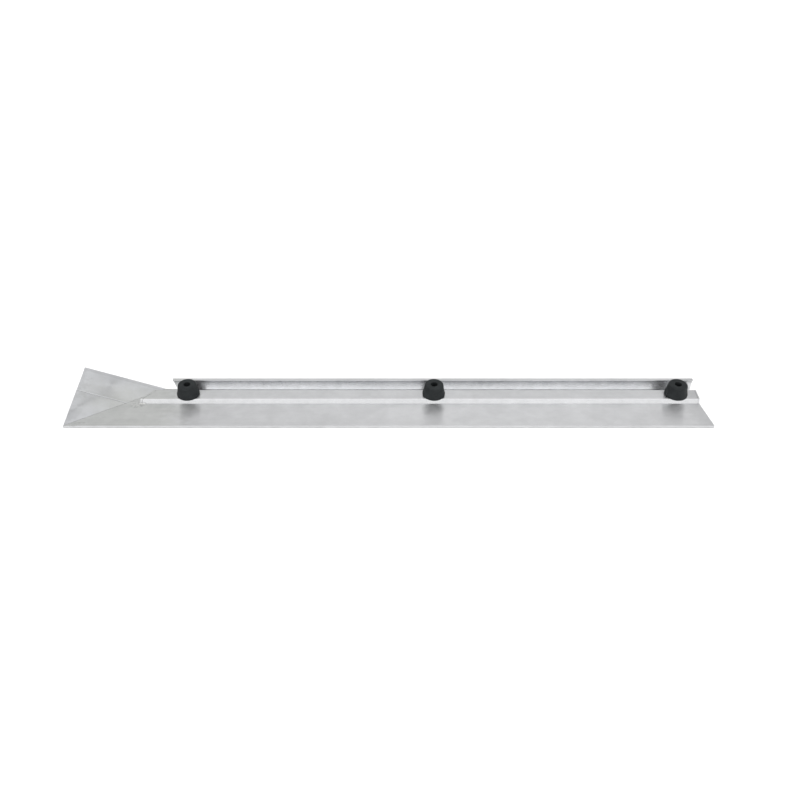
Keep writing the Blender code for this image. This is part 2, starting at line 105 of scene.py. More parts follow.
# Buffers and fasteners, along each buffer's own axis
GAP = 0.0003
BUFFER_HEIGHT = 0.0248
BUFFER_BASE_RADIUS = 0.0218
BUFFER_TOP_RADIUS = 0.0176
BUFFER_WAIST_RADIUS = 0.0198
BUFFER_WAIST_HEIGHT = 0.0105
BUFFER_LIP_HEIGHT = 0.0042
BUFFER_EDGE_ROUND = 0.0008
BUFFER_SHOULDER_ROUND = 0.0026
BUFFER_WAIST_ROUND = 0.012
BUFFER_LIP_ROUND = 0.0016
BUFFER_PARTING_RIDGE = 0.00012
BUFFER_UNEVENNESS = 0.00009
HOLE_RADIUS = 0.0066
HOLE_FLOOR = 0.0065
RECESS_RADIUS = 0.007
RECESS_DEPTH = 0.0018
SCREW_RADIUS = 0.003
SCREW_LENGTH = 0.016
HEAD_RADIUS = 0.005
HEAD_HEIGHT = 0.006
SOCKET_APOTHEM = 0.0025
SOCKET_DEPTH = 0.003
WASHER_RADIUS = 0.0062
WASHER_THICKNESS = 0.0012
NUT_BODY_RADIUS = 0.0045
NUT_FLANGE_RADIUS = 0.0065
NUT_BULGE_RADIUS = 0.006
NUT_LENGTH = 0.008
RIB_WALL = 0.0025

# Blind rivets
RIVET_RADIUS = 0.0016
RIVET_HEAD_RADIUS = 0.0030
RIVET_BULGE_RADIUS = 0.0026
MANDREL_RADIUS = 0.0008

# Weld bead round the rib's left end
BEAD_RADIUS = 0.0021
BEAD_FRONT_RUN = 0.012
BEAD_OFFSET = 0.0012
BEAD_STEP = 0.0004
RIPPLE_PITCH = 0.0021
SPATTER_COUNT = 70
SPATTER_REACH = 0.020
BEAD_SIDES = 20
BEAD_TAPER_RINGS = 7
CORNER_PASSES = 6

SMOOTH_ANGLE = math.radians(35)
SETTLE_DROP = 0.9 * GAP

# How light the bare metal is, its tints, and where the painted light on the blade rises from left to right
BLADE_TONE = 0.835
# The wing's lower tone is painted shade, since the tilted wing catches more light than the blade
WING_TONE_WITH_PAINTED_SHADE = 0.745
BLADE_TINT = (0.993, 1.0, 1.014)
WING_TINT = (0.985, 1.0, 1.025)
SOOTY_TINT = (0.985, 1.0, 0.985)
WELD_TINT = (1.0, 1.0, 0.985)
PAINTED_LIGHT_START_X = -0.38
PAINTED_LIGHT_FULL_X = 0.12


# Node graph helper

class Graph:
    """Builds a material's node tree from short calls; sockets are passed as inputs."""

    def __init__(self, name):
        self.material = bpy.data.materials.new(name)
        self.material.use_nodes = True
        self.tree = self.material.node_tree
        self.shader = self.tree.nodes["Principled BSDF"]
        self.place = self.add("ShaderNodeTexCoord").outputs["Object"]

    def add(self, kind, **settings):
        node = self.tree.nodes.new(kind)
        for key, value in settings.items():
            setattr(node, key, value)
        return node

    def feed(self, socket, value):
        if isinstance(value, bpy.types.NodeSocket):
            self.tree.links.new(value, socket)
        elif value is not None:
            socket.default_value = value

    def mapped(self, place, scale=(1, 1, 1), turn=(0, 0, 0), shift=(0, 0, 0)):
        """The position scaled, then turned, then shifted."""
        node = self.add("ShaderNodeMapping")
        self.feed(node.inputs["Vector"], place)
        node.inputs["Scale"].default_value = scale
        node.inputs["Rotation"].default_value = turn
        node.inputs["Location"].default_value = shift
        return node.outputs["Vector"]

    def noise(self, place, scale=1.0, detail=2.0, rough=0.5):
        node = self.add("ShaderNodeTexNoise")
        self.feed(node.inputs["Vector"], place)
        node.inputs["Scale"].default_value = scale
        node.inputs["Detail"].default_value = detail
        node.inputs["Roughness"].default_value = rough
        return node.outputs["Fac"]

    def cells(self, place, scale):
        node = self.add("ShaderNodeTexVoronoi")
        self.feed(node.inputs["Vector"], place)
        node.inputs["Scale"].default_value = scale
        return node.outputs["Distance"]

    def split(self, vector):
        node = self.add("ShaderNodeSeparateXYZ")
        self.feed(node.inputs["Vector"], vector)
        return node.outputs

    def facing(self):
        """The surface's own direction, in world axes."""
        return self.split(self.add("ShaderNodeNewGeometry").outputs["Normal"])

    def distance(self, place, point, scale=(1, 1, 1)):
        """Distance from a point, with each axis stretched by its scale."""
        shift = [-p * s for p, s in zip(point, scale)]
        node = self.add("ShaderNodeVectorMath", operation="LENGTH")
        self.feed(node.inputs["Vector"], self.mapped(place, scale, shift=shift))
        return node.outputs["Value"]

    def math(self, operation, a, b=None, c=None):
        node = self.add("ShaderNodeMath", operation=operation)
        for socket, value in zip(node.inputs, (a, b, c)):
            self.feed(socket, value)
        return node.outputs["Value"]

    def spread(self, value, low, high, new_low=0.0, new_high=1.0):
        """Maps a value smoothly from one range to another and keeps it inside the new one."""
        node = self.add("ShaderNodeMapRange", interpolation_type="SMOOTHSTEP", clamp=True)
        for socket, setting in zip(node.inputs, (value, low, high, new_low, new_high)):
            self.feed(socket, setting)
        return node.outputs["Result"]

    def overlap(self, *masks):
        """Where all the masks hold."""
        product = masks[0]
        for mask in masks[1:]:
            product = self.math("MULTIPLY", product, mask)
        return product

    def shade(self, value, mask, change):
        """The value, changed by an amount where the mask holds."""
        return self.math("MULTIPLY_ADD", mask, change, value)

    def sway(self, value, amount, base):
        """The base plus or minus an amount, as the noise value swings."""
        return self.math("MULTIPLY_ADD", self.spread(value, 0.3, 0.7, -1.0, 1.0), amount, base)

    def mix(self, factor, first, second):
        node = self.add("ShaderNodeMix", data_type="RGBA")
        self.feed(node.inputs["Factor"], factor)
        self.feed(node.inputs["A"], first)
        self.feed(node.inputs["B"], second)
        return node.outputs["Result"]

    def tinted(self, value, tint):
        """A colour from one value and a tint near white."""
        node = self.add("ShaderNodeCombineColor")
        for socket, part in zip(node.inputs, tint):
            self.feed(socket, self.math("MULTIPLY", value, part))
        return node.outputs["Color"]

    def bump(self, height, distance, strength=1.0, normal=None):
        node = self.add("ShaderNodeBump")
        node.inputs["Strength"].default_value = strength
        node.inputs["Distance"].default_value = distance
        self.feed(node.inputs["Height"], height)
        self.feed(node.inputs["Normal"], normal)
        return node.outputs["Normal"]

    def finish(self, colour, roughness, normal=None, **constants):
        self.feed(self.shader.inputs["Base Color"], colour)
        self.feed(self.shader.inputs["Roughness"], roughness)
        self.feed(self.shader.inputs["Normal"], normal)
        for key, value in constants.items():
            self.shader.inputs[key.replace("_", " ")].default_value = value
        return self.material


def grey(value):
    return (value, value, value, 1.0)


# Studio

def make_camera():
    camera = bpy.data.objects.new("camera", bpy.data.cameras.new("camera"))
    camera.data.sensor_width = 36.0
    camera.data.lens = CAMERA_LENS_MM
    camera.data.shift_x = CAMERA_SHIFT_X
    camera.data.clip_end = 200.0
    camera.location = CAMERA_PLACE
    camera.rotation_euler = (math.pi / 2 - CAMERA_PITCH_DOWN, 0, 0)
    bpy.context.scene.collection.objects.link(camera)
    bpy.context.scene.camera = camera


def make_floor():
    mesh = bpy.data.meshes.new("floor")
    ground = bmesh.new()
    bmesh.ops.create_grid(ground, x_segments=1, y_segments=1, size=FLOOR_HALF_SIZE)
    ground.to_mesh(mesh)
    ground.free()
    floor = bpy.data.objects.new("floor", mesh)
    floor.location.z = cad_box[0][2] - FLOOR_GAP
    bpy.context.scene.collection.objects.link(floor)
    graph = Graph("white_paper")
    cloud = graph.noise(graph.place, 3.0, 3.0)
    mesh.materials.append(graph.finish(graph.mix(cloud, grey(0.92), grey(0.94)), 0.9))


def make_light():
    """A sky that is brighter in front of the blade, and a soft sun that only lights matt things."""
    scene = bpy.context.scene
    scene.view_settings.view_transform = "Standard"
    world = bpy.data.worlds.new("studio")
    scene.world = world
    world.use_nodes = True
    tree = world.node_tree
    direction = tree.nodes.new("ShaderNodeTexCoord").outputs["Generated"]
    split = tree.nodes.new("ShaderNodeSeparateXYZ")
    tree.links.new(direction, split.inputs["Vector"])
    front = tree.nodes.new("ShaderNodeMapRange")
    tree.links.new(split.outputs["Y"], front.inputs["Value"])
    for name, value in (("From Min", 0.25), ("From Max", -0.85), ("To Min", 0.66), ("To Max", 1.34)):
        front.inputs[name].default_value = value
    tree.links.new(front.outputs["Result"], tree.nodes["Background"].inputs["Strength"])
    tree.nodes["Background"].inputs["Color"].default_value = grey(1.0)

    sun = bpy.data.objects.new("sun", bpy.data.lights.new("sun", "SUN"))
    sun.data.energy = 1.6
    sun.data.angle = math.radians(60)
    sun.rotation_euler = (math.radians(12), math.radians(8), 0)
    sun.visible_glossy = False
    scene.collection.objects.link(sun)


# Materials

def unfolded(graph):
    """A place on the wing, turned back down into the blade's plane."""
    turn_back = Matrix.Rotation(-FOLD_ANGLE, 3, FOLD_AXIS)
    shift = FOLD_START - turn_back @ FOLD_START
    return graph.mapped(graph.place, turn=turn_back.to_euler(), shift=shift)


def scratch_marks(graph, place):
    """Fine straight scratches in three directions."""
    marks = None
    for angle in (0.25, -0.6, 1.3):
        along_scratch = graph.mapped(place, turn=(0, 0, angle))
        streaks = graph.noise(graph.mapped(along_scratch, (10, 460, 30)), 1.0, 1.0)
        lit = graph.spread(streaks, 0.72, 0.78)
        marks = lit if marks is None else graph.math("MAXIMUM", marks, lit)
    return marks


def soot_marks(graph, place, mottle):
    """Soot round the weld and along the mitre, burnt blotches by the bead, and a corner smudge."""
    flatness = graph.math("ABSOLUTE", graph.facing()["Z"])
    from_weld = graph.distance(place, (CAP_LOW.x, CAP_LOW.y, PLATE_TOP), (0.45, 1, 1))
    sooty = graph.spread(graph.sway(mottle, 0.008, from_weld), 0.075, 0.008)
    sooty = graph.overlap(sooty, graph.spread(flatness, 0.25, 0.75))

    bead_front = (CAP_LOW.x - 0.004, CAP_LOW.y - 0.006, PLATE_TOP)
    from_bead = graph.distance(place, bead_front, (0.8, 1, 1))
    blotches = graph.spread(graph.noise(place, 230.0, 3.0), 0.46, 0.56)
    burnt = graph.overlap(graph.spread(from_bead, 0.014, 0.006), blotches)

    front_left = (PLANK_LOW.x + 0.018, PLANK_LOW.y + 0.007, PLATE_TOP)
    from_corner = graph.distance(place, front_left, (0.35, 1, 1))
    smudge = graph.spread(graph.sway(mottle, 0.003, from_corner), 0.009, 0.002)
    return sooty, burnt, smudge


def wing_tone(graph, tone, spot, along):
    """The wing is darker at its seam and at its left edge."""
    from_seam = graph.math("ABSOLUTE", graph.math("SUBTRACT", spot["Y"], SEAM_Y))
    seam = graph.spread(from_seam, SEAM_HALF_WIDTH, SEAM_HALF_WIDTH / 3)
    left_edge = graph.spread(along, PLANK_LOW.x + 0.016, PLANK_LOW.x + 0.004)
    tone = graph.shade(tone, seam, -0.30)
    return graph.shade(tone, left_edge, -0.05)


def blade_tone(graph, tone, spot, along, level, upright):
    """The blade's tone: painted shade at the left end and painted light rising towards the right, darker at
    the right end and on the rib's top, painted shade on the rib's front and the rail's right end, a painted
    shadow under the rail's lip, and painted light on upright faces.
    """
    # Painted shade on level faces at the left end and painted light rising towards the right; the right end
    # is darker
    painted_shade_left_end = graph.overlap(level, graph.spread(along, RAIL_END_X + 0.065, RAIL_END_X - 0.020))
    right_end = graph.overlap(level, graph.spread(along, PLANK_HIGH.x - 0.055, PLANK_HIGH.x - 0.015))
    behind_rib = graph.spread(spot["Y"], RIB_HIGH.y, RIB_HIGH.y + 0.002)
    painted_light_to_right = graph.overlap(level, graph.spread(spot["X"], PAINTED_LIGHT_START_X, PAINTED_LIGHT_FULL_X))
    painted_light_to_right = graph.overlap(painted_light_to_right, graph.math("SUBTRACT", 1.0, behind_rib))
    tone = graph.shade(tone, painted_shade_left_end, -0.090)
    tone = graph.shade(tone, right_end, -0.120)
    tone = graph.shade(tone, painted_light_to_right, 0.050)

    above_foot = graph.spread(spot["Z"], RIB_LOW.z + 0.007, RIB_LOW.z + 0.009)
    before_rail = graph.spread(spot["Y"], RIB_HIGH.y + 0.004, RIB_HIGH.y + 0.001)
    rib_top = graph.overlap(above_foot, before_rail)
    tone = graph.shade(tone, graph.overlap(rib_top, level), -0.035)
    tone = graph.shade(tone, graph.overlap(rib_top, painted_light_to_right), -0.025)

    # Painted shade on the rib's upright front face
    past_foot = graph.spread(spot["Y"], RIB_LOW.y - 0.002, RIB_LOW.y - 0.001)
    before_top = graph.spread(spot["Y"], RIB_LOW.y + 0.008, RIB_LOW.y + 0.006)
    painted_shade_rib_front = graph.overlap(past_foot, before_top, upright)
    tone = graph.shade(tone, painted_shade_rib_front, -0.29)

    # Painted shadow on the rail's wall under its lip
    painted_shadow_under_lip = graph.spread(spot["Z"], CHANNEL_HIGH.z - 0.013, CHANNEL_HIGH.z - 0.004)
    at_rail = graph.spread(spot["Y"], RIB_HIGH.y, RIB_HIGH.y + 0.004)
    tone = graph.shade(tone, graph.overlap(painted_shadow_under_lip, at_rail, upright), -0.24)
    # Painted light on all upright faces
    tone = graph.shade(tone, upright, 0.05)

    # Painted shade on the rail's wall at its right end
    painted_shade_far_end = graph.spread(spot["X"], PLANK_HIGH.x - 0.035, PLANK_HIGH.x - 0.015)
    tone = graph.shade(tone, graph.overlap(painted_shade_far_end, upright, behind_rib), -0.22)
    return tone, painted_shade_left_end, behind_rib


def mill_aluminium(name, folded=False):
    """Extruded aluminium: die lines along the profile, faint clouds, fine scratches and specks, with
    painted light and shade on the blade and a painted shade on the wing.
    """
    graph = Graph(name)
    place = unfolded(graph) if folded else graph.place
    spot = graph.split(place)
    facing = graph.facing()
    upright = graph.spread(graph.math("ABSOLUTE", facing["Z"]), 0.75, 0.25)
    level = graph.math("SUBTRACT", 1.0, upright)

    lines = graph.noise(graph.mapped(place, (5, 900, 900)), 1.0, 3.0, 0.6)
    fine_lines = graph.noise(graph.mapped(place, (9, 2800, 2800)), 1.0, 2.0, 0.6)
    bands = graph.noise(graph.mapped(place, (1.5, 90, 90)), 1.0, 2.0)
    clouds = graph.noise(place, 24.0, 4.0, 0.6)
    mottle = graph.noise(place, 75.0, 3.0, 0.55)
    patches = graph.noise(place, 5.0, 2.0)
    specks = graph.spread(graph.cells(place, 170.0), 0.10, 0.05)
    grain = graph.noise(place, 1500.0, 2.0, 0.6)
    scratches = scratch_marks(graph, place)
    sooty, burnt, smudge = soot_marks(graph, place, mottle)
    along = graph.sway(mottle, 0.012, spot["X"])

    tone = graph.sway(clouds, 0.022, WING_TONE_WITH_PAINTED_SHADE if folded else BLADE_TONE)
    tone = graph.sway(mottle, 0.018, tone)
    tone = graph.sway(patches, 0.016, tone)
    tone = graph.sway(lines, 0.008, tone)
    tone = graph.sway(bands, 0.008, tone)
    tone = graph.shade(tone, specks, -0.05)
    tone = graph.shade(tone, scratches, 0.03)
    tone = graph.shade(tone, sooty, -0.02 if folded else -0.04)
    tone = graph.shade(tone, smudge, -0.16)
    tone = graph.shade(tone, burnt, -0.17)
    if folded:
        tone = wing_tone(graph, tone, spot, along)
        greenish, glossy = sooty, upright
    else:
        tone, painted_shade_left_end, behind_rib = blade_tone(graph, tone, spot, along, level, upright)
        # The soot and the painted shade at the left end take a greenish tint
        greenish = graph.math("MAXIMUM", sooty, painted_shade_left_end)
        glossy = graph.math("MAXIMUM", upright, behind_rib)

    # The sawn land, left of the rail's end
    from_land = graph.math("ABSOLUTE", graph.math("SUBTRACT", spot["Y"], LAND_Y))
    land = graph.spread(graph.sway(mottle, 0.0006, from_land), LAND_HALF_WIDTH, LAND_HALF_WIDTH / 3)
    no_rail = graph.spread(spot["X"], RAIL_END_X + 0.010, RAIL_END_X - 0.001)
    tone = graph.shade(tone, graph.overlap(land, no_rail), -0.05)

    # The top is darker along the working edge, the front face carries painted shade, and sawn ends are
    # rougher and duller
    brow = graph.overlap(level, graph.spread(spot["Y"], PLANK_LOW.y + 0.0025, PLANK_LOW.y + 0.001))
    world_y = graph.split(graph.place)["Y"]
    painted_shade_front_edge = graph.overlap(upright, graph.spread(world_y, PLANK_LOW.y + 0.004, PLANK_LOW.y + 0.001))
    end_face = graph.spread(graph.math("ABSOLUTE", facing["X"]), 0.6, 0.9)
    saw_marks = graph.overlap(graph.noise(graph.mapped(place, (60, 60, 1400)), 1.0, 2.0), end_face)
    tone = graph.shade(tone, brow, -0.16)
    tone = graph.shade(tone, painted_shade_front_edge, -0.34)
    tone = graph.math("MULTIPLY", tone, graph.math("MULTIPLY_ADD", end_face, -0.10, 1.0))
    plain = graph.tinted(tone, WING_TINT if folded else BLADE_TINT)
    colour = graph.mix(greenish, plain, graph.tinted(tone, SOOTY_TINT))

    roughness = graph.sway(clouds, 0.03, 0.36)
    roughness = graph.shade(roughness, glossy, -0.18)
    roughness = graph.shade(roughness, sooty, 0.05)
    roughness = graph.shade(roughness, smudge, 0.12)
    roughness = graph.shade(roughness, end_face, 0.12)

    normal = graph.bump(lines, 0.00002, 0.5)
    normal = graph.bump(fine_lines, 0.00002, 0.5, normal)
    normal = graph.bump(grain, 0.00001, 0.4, normal)
    normal = graph.bump(scratches, 0.00002, 0.6, normal)
    normal = graph.bump(saw_marks, 0.0001, 0.6, normal)

    # The die lines spread reflections across the profile and keep them crisp along it
    around = graph.add("ShaderNodeTangent", direction_type="RADIAL", axis="X")
    graph.feed(graph.shader.inputs["Tangent"], around.outputs["Tangent"])
    return graph.finish(colour, roughness, normal, Metallic=1.0, Anisotropic=0.9)


def weld_metal(name, scale=500.0):
    """Bright weld metal with a fine frosted skin and sooty hollows."""
    graph = Graph(name)
    frost = graph.noise(graph.place, scale, 4.0, 0.65)
    soot = graph.noise(graph.place, 130.0, 4.0, 0.6)
    tone = graph.sway(frost, 0.06, 0.78)
    tone = graph.shade(tone, graph.spread(soot, 0.5, 0.75), -0.22)
    roughness = graph.sway(frost, 0.06, 0.36)
    normal = graph.bump(frost, 0.0001, 0.7)
    return graph.finish(graph.tinted(tone, WELD_TINT), roughness, normal, Metallic=1.0)


def moulded_rubber():
    """Black rubber with a satin skin, pale bloom and the fine rings of a turned mould."""
    graph = Graph("moulded_rubber")
    grain = graph.noise(graph.place, 1100.0, 3.0, 0.6)
    bloom = graph.noise(graph.place, 70.0, 4.0, 0.6)
    dust = graph.spread(graph.cells(graph.place, 420.0), 0.12, 0.05)
    rings = graph.noise(graph.mapped(graph.place, (20, 20, 1500)), 1.0, 2.0)
    black, bloomed = (0.011, 0.013, 0.014, 1.0), (0.021, 0.024, 0.025, 1.0)
    colour = graph.mix(graph.spread(bloom, 0.3, 0.75), black, bloomed)
    colour = graph.mix(graph.math("MULTIPLY", dust, 0.25), colour, grey(0.07))
    roughness = graph.sway(bloom, 0.05, 0.58)
    normal = graph.bump(rings, 0.00006, 0.4)
    normal = graph.bump(grain, 0.00005, 0.5, normal)
    return graph.finish(colour, roughness, normal, Specular_IOR_Level=0.22)


def plated_steel(name, base, tint, rough):
    graph = Graph(name)
    cloud = graph.noise(graph.place, 260.0, 4.0, 0.6)
    grain = graph.noise(graph.place, 2600.0, 2.0, 0.6)
    tone = graph.sway(cloud, 0.12 * base, base)
    roughness = graph.sway(cloud, 0.05, rough)
    return graph.finish(graph.tinted(tone, tint), roughness, graph.bump(grain, 0.00002, 0.5), Metallic=1.0)


# Mesh helpers

def rounded(corners, steps=6):
    """Outline through (a, b, radius) corners, each with an arc of its radius."""
    outline = []
    for index, (a, b, radius) in enumerate(corners):
        corner = Vector((a, b))
        if radius == 0:
            outline.append(corner)
            continue
        before = (Vector(corners[index - 1][:2]) - corner).normalized()
        after = (Vector(corners[(index + 1) % len(corners)][:2]) - corner).normalized()
        half = before.angle(after) / 2
        centre = corner + (before + after).normalized() * (radius / math.sin(half))
        first = corner + before * (radius / math.tan(half)) - centre
        last = corner + after * (radius / math.tan(half)) - centre
        sweep = -first.angle_signed(last)
        for step in range(steps + 1):
            outline.append(centre + Matrix.Rotation(sweep * step / steps, 2) @ first)
    return outline


def plain_ring(radius, angle):
    return radius


def knurled_ring(radius, angle, teeth=36, depth=0.00012):
    return radius - depth * (0.5 - 0.5 * math.cos(teeth * angle))


def hexagon_ring(apothem, angle):
    sixth = math.pi / 3
    return apothem / math.cos((angle + sixth / 2) % sixth - sixth / 2)


def turned(rings, steps):
    """A closed round mesh from (radius, height, shape) rings that run down its outer side."""
    solid = bmesh.new()
    loops = []
    for radius, height, shape in rings:
        if radius == 0:
            loops.append([solid.verts.new((0, 0, height))])
            continue
        loop = []
        for step in range(steps):
            angle = 2 * math.pi * step / steps
            reach = shape(radius, angle)
            loop.append(solid.verts.new((reach * math.cos(angle), reach * math.sin(angle), height)))
        loops.append(loop)
    pairs = list(zip(loops, loops[1:]))
    if len(loops[0]) > 1:
        pairs.append((loops[-1], loops[0]))
    for upper, lower in pairs:
        for step in range(steps):
            after = (step + 1) % steps
            if len(upper) == 1:
                solid.faces.new((upper[0], lower[step], lower[after]))
            elif len(lower) == 1:
                solid.faces.new((upper[step], lower[0], upper[after]))
            else:
                solid.faces.new((upper[step], lower[step], lower[after], upper[after]))
    return solid


def place_piece(name, solid, matrix, material, slot, *replaced):
    """Turns a bmesh into a smooth piece of the model that stands for some CAD nodes."""
    bmesh.ops.transform(solid, matrix=matrix, verts=solid.verts)
    bmesh.ops.recalc_face_normals(solid, faces=solid.faces)
    mesh = bpy.data.meshes.new(name)
    solid.to_mesh(mesh)
    solid.free()
    mesh.polygons.foreach_set("use_smooth", [True] * len(mesh.polygons))
    mesh.set_sharp_from_angle(angle=SMOOTH_ANGLE)
    mesh.materials.append(material)
    piece = bpy.data.objects.new(name, mesh)
    bpy.context.scene.collection.objects.link(piece)
    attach(piece, "root")
    if replaced:
        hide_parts(*replaced)
    return piece


# Buffers and their fasteners

def buffer_mesh():
    """A conical buffer with an eased rim, a hollow flank, a base lip and a faint parting line."""
    profile = rounded([
        (HOLE_RADIUS, BUFFER_HEIGHT, BUFFER_EDGE_ROUND),
        (BUFFER_TOP_RADIUS, BUFFER_HEIGHT, BUFFER_SHOULDER_ROUND),
        (BUFFER_WAIST_RADIUS, BUFFER_WAIST_HEIGHT, BUFFER_WAIST_ROUND),
        (BUFFER_BASE_RADIUS, BUFFER_LIP_HEIGHT, BUFFER_LIP_ROUND),
        (BUFFER_BASE_RADIUS - GAP, GAP, BUFFER_LIP_ROUND),
        (RECESS_RADIUS, GAP, 0.0003),
        (RECESS_RADIUS, RECESS_DEPTH, 0),
        (SCREW_RADIUS + GAP, RECESS_DEPTH, 0),
        (SCREW_RADIUS + GAP, HOLE_FLOOR, 0),
        (HOLE_RADIUS, HOLE_FLOOR, 0.0004),
    ])
    solid = turned([(radius, height, plain_ring) for radius, height in profile], 128)
    for vert in solid.verts:
        radius = math.hypot(vert.co.x, vert.co.y)
        if radius < RECESS_RADIUS + GAP or vert.co.z < GAP + 1e-6:
            continue
        outward = Vector((vert.co.x, vert.co.y, 0)) / radius
        swell = BUFFER_UNEVENNESS * noise.noise(vert.co * 160)
        if abs(vert.co.y) < 1e-6:
            swell += BUFFER_PARTING_RIDGE
        vert.co += outward * swell
    return solid


def cap_screw_mesh():
    seat = HOLE_FLOOR + WASHER_THICKNESS + 2 * GAP
    top = seat + HEAD_HEIGHT
    tip = seat - SCREW_LENGTH
    ease = 0.0004
    rings = [
        (0, top - SOCKET_DEPTH - 0.0008, None),
        (SOCKET_APOTHEM, top - SOCKET_DEPTH, hexagon_ring),
        (SOCKET_APOTHEM, top - 0.0002, hexagon_ring),
        (SOCKET_APOTHEM + 0.0002, top, hexagon_ring),
        (HEAD_RADIUS - 2 * ease, top, plain_ring),
        (HEAD_RADIUS - ease, top - ease / 3, plain_ring),
        (HEAD_RADIUS, top - 1.5 * ease, plain_ring),
        (HEAD_RADIUS, top - 2 * ease, knurled_ring),
        (HEAD_RADIUS, seat + 2 * ease, knurled_ring),
        (HEAD_RADIUS, seat + ease, plain_ring),
        (HEAD_RADIUS - ease, seat, plain_ring),
        (SCREW_RADIUS, seat, plain_ring),
        (SCREW_RADIUS, tip + ease, plain_ring),
        (SCREW_RADIUS - ease, tip, plain_ring),
        (0, tip, None),
    ]
    return turned(rings, 144)


def washer_mesh():
    bottom = HOLE_FLOOR + GAP
    top = bottom + WASHER_THICKNESS
    profile = rounded([
        (SCREW_RADIUS + GAP, top, 0.0002),
        (WASHER_RADIUS, top, 0.0004),
        (WASHER_RADIUS, bottom, 0.0002),
        (SCREW_RADIUS + GAP, bottom, 0.0002),
    ], 4)
    return turned([(radius, height, plain_ring) for radius, height in profile], 72)


def rivet_nut_mesh():
    bore = SCREW_RADIUS + GAP
    flange_top = RECESS_DEPTH - GAP
    grip = -RIB_WALL - GAP
    profile = rounded([
        (bore, flange_top, 0.0002),
        (NUT_FLANGE_RADIUS, flange_top, 0.0004),
        (NUT_FLANGE_RADIUS, GAP, 0),
        (NUT_BODY_RADIUS, GAP, 0),
        (NUT_BODY_RADIUS, grip, 0.0001),
        (NUT_BULGE_RADIUS, grip - GAP, 0.0003),
        (NUT_BULGE_RADIUS, grip - 0.0012, 0.0003),
        (NUT_BODY_RADIUS, grip - 0.0012 - GAP, 0.0001),
        (NUT_BODY_RADIUS, -NUT_LENGTH, 0.0003),
        (bore, -NUT_LENGTH, 0.0002),
    ], 4)
    return turned([(radius, height, plain_ring) for radius, height in profile], 72)


def make_buffers():
    rubber = moulded_rubber()
    oxide = plated_steel("black_oxide", 0.035, (0.95, 0.98, 1.05), 0.42)
    zinc = plated_steel("zinc_plate", 0.55, (1.0, 0.99, 0.96), 0.32)
    pieces = (
        ("rubber_buffer_", buffer_mesh, rubber, "rubber", "buffer_"),
        ("cap_screw_", cap_screw_mesh, oxide, "oxide_steel", "buffer_screw_"),
        ("flat_washer_", washer_mesh, zinc, "zinc_steel", "buffer_washer_"),
        ("threaded_insert_", rivet_nut_mesh, zinc, "zinc_steel", "rivet_nut_"),
    )
    for side in ("left", "middle", "right"):
        mount = mounts["buffer_face_" + side]
        low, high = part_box("buffer_" + side)
        axis = Vector(mount["axis"])
        face = Vector(((low[0] + high[0]) / 2, mount["pos_m"][1], mount["pos_m"][2]))
        tilt = Vector((0, 0, 1)).rotation_difference(axis).to_matrix().to_4x4()
        seat = Matrix.Translation(face - axis * BUFFER_HEIGHT) @ tilt
        for name, make_mesh, material, slot, node in pieces:
            place_piece(name + side, make_mesh(), seat, material, slot, node + side)


# Blind rivets

def rivet_mesh(height):
    """A set blind rivet: countersunk head below, with the broken mandrel in its middle."""
    drop = RIVET_HEAD_RADIUS - RIVET_RADIUS
    rings = [
        (0, height, None),
        (RIVET_RADIUS * 0.8, height, plain_ring),
        (RIVET_RADIUS, height - 0.0003, plain_ring),
        (RIVET_BULGE_RADIUS * 0.97, height - 0.0010, plain_ring),
        (RIVET_BULGE_RADIUS, height - 0.0015, plain_ring),
        (RIVET_BULGE_RADIUS * 0.92, height - 0.0022, plain_ring),
        (RIVET_RADIUS, height - 0.0030, plain_ring),
        (RIVET_RADIUS, drop, plain_ring),
        (RIVET_HEAD_RADIUS, 0.0003, plain_ring),
        (RIVET_HEAD_RADIUS - 0.0001, 0.00015, plain_ring),
        (RIVET_HEAD_RADIUS * 0.7, 0.0002, plain_ring),
        (MANDREL_RADIUS + 0.0002, 0.0003, plain_ring),
        (MANDREL_RADIUS, 0.0008, plain_ring),
        (MANDREL_RADIUS * 0.9, 0.0006, plain_ring),
        (0, 0.0005, None),
    ]
    return turned(rings, 48)


def make_rivets():
    zinc = plated_steel("rivet_zinc", 0.60, (1.0, 0.99, 0.97), 0.34)
    for node in sorted(nodes):
        if "_rivet_" not in node:
            continue
        low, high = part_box(node)
        place = Matrix.Translation(((low[0] + high[0]) / 2, (low[1] + high[1]) / 2, 0))
        place_piece("blind_" + node, rivet_mesh(high[2]), place, zinc, "zinc_steel", node)


# Weld at the rib's left end

def bead_route():
    """Points along the bead, from the rib's front face round its corner to the back of the cap."""
    front_corner = Vector((CAP_LOW.x, CAP_LOW.y, PLATE_TOP))
    run = RIB_REAR_CORNER_X - CAP_LOW.x
    mitre = Vector((run, RIB_HIGH.y - RIB_LOW.y, 0))
    outward = Vector((-mitre.y, mitre.x, 0)).normalized() * BEAD_OFFSET
    lift = Vector((0, 0, BEAD_OFFSET * 0.6))
    first = front_corner + Vector((BEAD_FRONT_RUN, -BEAD_OFFSET, 0)) + lift
    corner = front_corner + outward + lift
    last = front_corner + mitre + outward + lift
    return first, corner, last


